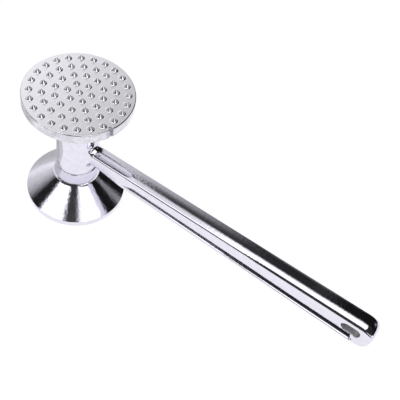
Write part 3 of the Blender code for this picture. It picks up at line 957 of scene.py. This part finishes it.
# Grey metal with painted shade: the notch's one wall and the slot's inside are coloured darker to stand in
# for the shade there.
PAINTED_SHADE_GREY = cast_metal("painted_shade_grey_aluminium", (0.55, 0.55, 0.57), 0.5, 0.3)
# Near-black metal with painted shade: the deep foot of the handle's side recess is coloured dark to stand in
# for the shade in that crease.
PAINTED_CREASE_SHADE = cast_metal("painted_crease_shade_aluminium", (0.05, 0.05, 0.06), 0.4, 0.3)
PLATED = cast_metal("plated_steel", (0.62, 0.62, 0.64), 0.25, 0.1)


# ---------------------------------------------------------------- pieces

PIECES = [
    (make_toothed_head([RIM, CAST, TEETH, PAINTED_SHADE_GREY]), "toothed_head", "toothed_casting"),
    (make_smooth_head([CONE]), "smooth_head", "polished_casting"),
    (make_collar([POLISHED]), "neck_collar", "polished_casting"),
    (make_handle([POLISHED, PAINTED_CREASE_SHADE, PAINTED_SHADE_GREY]), "handle", "polished_casting"),
]
for piece, node, slot in PIECES:
    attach(piece, "root")
    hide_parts(node)
for node in ("tie_stud", "lock_washer", "key_pin"):
    frame["nodes"][node].material_slots[0].material = PLATED


# ---------------------------------------------------------------- studio

FLOOR_HALF = 3.0              # metres
FLOOR_DROP = 0.02 * MM
FLOOR_TONE = 0.1
FLOOR_LEVEL = 0.94            # how brightly the floor shines by itself
CARD_TONE = 0.01
CAMERA_PLACE = (168.55 * MM, -221.32 * MM, 378.0 * MM)
CAMERA_TURN = (35.755, -9.337, 32.745)        # degrees about X, Y and Z
CAMERA_LENS = 61.93
CAMERA_SENSOR = 36.0

# The world's light: a plain level, and panels given by shares along the handle, degrees about it from
# the far horizon, the softness of both edges, and a level or a pair of levels along the handle
ROOM_LEVEL = 0.75
PANELS = [
    ((-0.53, -0.16), (80.0, 128.0), (0.03, 3.0), 0.85),
    ((-0.17, 0.40), (80.0, 128.0), (0.03, 3.0), 1.5),
    ((-0.53, 0.14), (120.0, 167.0), (0.02, 3.0), 1.5),
    ((0.54, 1.10), (80.0, 167.0), (0.02, 3.0), 1.5),
    ((-1.00, -0.82), (60.0, 158.0), (0.03, 4.0), (0.70, 0.05)),
    ((-0.83, -0.54), (120.0, 170.0), (0.02, 3.0), 0.012),
    ((-0.30, 0.02), (-20.0, 84.5), (0.03, 9.0), (0.07, 0.01)),
    ((0.0, 1.10), (-20.0, 82.0), (0.03, 8.0), 0.008),
    ((-0.30, 0.03), (-20.0, 14.0), (0.05, 14.0), 0.2),
    ((-1.10, -0.72), (-20.0, 62.0), (0.05, 3.0), 0.85),
    ((-0.72, -0.45), (-20.0, 62.0), (0.05, 3.0), 1.25),
    ((-0.46, -0.09), (-20.0, 46.0), (0.02, 24.0), (1.02, 0.0)),
    ((0.56, 0.74), (18.0, 34.0), (0.05, 5.0), 0.3),
    ((-0.50, 0.30), (154.0, 190.0), (0.05, 4.0), 0.03),
]

# Cards that only the polish sees: two opposite corners in mm, and how bright each card is
CARDS = [
    ("camera_card", (80, -350, 0), (330, -350, 600), 0.03),
    ("front_card", (120, -350, 0.01), (400, -62, 0.01), 0.05),
    ("low_card", (0, -120, 0), (300, -120, 45), 0.03),
    ("end_card", (245, -300, 150), (1000, 20, 150), 0.01),
    ("left_card", (-140, -110, 0), (0, -110, 18), 0.0),
    ("side_card", (-60, -20, 0.02), (-35, 60, 0.02), 0.5),
    ("edge_card", (-60, -40, 0.01), (-29, 60, 0.01), 0.68),
    ("far_card", (-120, -65, 0.01), (-60, 60, 0.01), 0.6),
]


def add_sheet(name, corners, tone, level):
    """A flat matt sheet of the studio, with its own grey tone and its own light."""
    mesh = bpy.data.meshes.new(name)
    mesh.from_pydata(corners, [], [(0, 1, 2, 3)])
    sheet = bpy.data.objects.new(name, mesh)
    bpy.context.scene.collection.objects.link(sheet)
    material, _, shader = new_material(name)
    shader.inputs["Base Color"].default_value = (tone, tone, tone, 1)
    shader.inputs["Roughness"].default_value = 1
    shader.inputs["Specular IOR Level"].default_value = 0
    shader.inputs["Emission Color"].default_value = (1, 1, 1, 1)
    shader.inputs["Emission Strength"].default_value = level
    mesh.materials.append(material)
    return sheet


def make_floor():
    half = FLOOR_HALF
    corners = [(-half, -half, 0), (half, -half, 0), (half, half, 0), (-half, half, 0)]
    floor = add_sheet("floor", corners, FLOOR_TONE, FLOOR_LEVEL)
    floor.location.z = -FLOOR_DROP


def make_card(name, lower, upper, level):
    """A black or grey card around the tool: seen in the polish only, it casts no shadow."""
    (x1, y1, z1), (x2, y2, z2) = [[value * MM for value in corner] for corner in (lower, upper)]
    if z1 == z2:
        corners = [(x1, y1, z1), (x2, y1, z1), (x2, y2, z1), (x1, y2, z1)]
    else:
        corners = [(x1, y1, z1), (x2, y1, z1), (x2, y1, z2), (x1, y1, z2)]
    card = add_sheet(name, corners, CARD_TONE, level)
    card.visible_camera = card.visible_diffuse = card.visible_shadow = False


def make_world():
    """Light from panels, placed by the share of a direction along the handle and its angle about it."""
    world = bpy.data.worlds.new("studio")
    world.use_nodes = True
    nodes = Nodes(world.node_tree)
    direction = nodes.add("ShaderNodeTexCoord").outputs["Generated"]
    share, back, up = nodes.add("ShaderNodeSeparateXYZ", None, i0=direction).outputs
    turn = nodes.math("DEGREES", nodes.math("ARCTAN2", up, back))
    turn = nodes.add("ShaderNodeMath", {"operation": "WRAP"}, i0=turn, i1=270.0, i2=-90.0).outputs[0]
    level = ROOM_LEVEL
    for shares, turns, soft, panel in PANELS:
        mask = 1.0
        for value, (low, high), edge in zip((share, turn), (shares, turns), soft):
            mask = nodes.math("MULTIPLY", mask, nodes.range(value, low - edge, low + edge))
            mask = nodes.math("MULTIPLY", mask, nodes.range(value, high - edge, high + edge, 1.0, 0.0))
        if isinstance(panel, tuple):
            panel = nodes.range(share, shares[0], shares[1], *panel, smooth=False)
        level = nodes.add("ShaderNodeMix", {"data_type": "FLOAT"}, i0=mask, i2=level, i3=panel).outputs[0]
    background = world.node_tree.nodes["Background"]
    background.inputs["Color"].default_value = (1, 1, 1, 1)
    world.node_tree.links.new(level, background.inputs["Strength"])
    bpy.context.scene.world = world


def make_camera():
    camera = bpy.data.objects.new("camera", bpy.data.cameras.new("camera"))
    camera.location = CAMERA_PLACE
    camera.rotation_euler = [math.radians(angle) for angle in CAMERA_TURN]
    camera.data.lens = CAMERA_LENS
    camera.data.sensor_width = CAMERA_SENSOR
    camera.data.clip_start = 0.01
    bpy.context.scene.collection.objects.link(camera)
    bpy.context.scene.camera = camera


make_floor()
for card_name, lower, upper, card_level in CARDS:
    make_card(card_name, lower, upper, card_level)
make_world()
make_camera()
bpy.context.scene.view_settings.view_transform = "Standard"

bpy.context.view_layer.update()
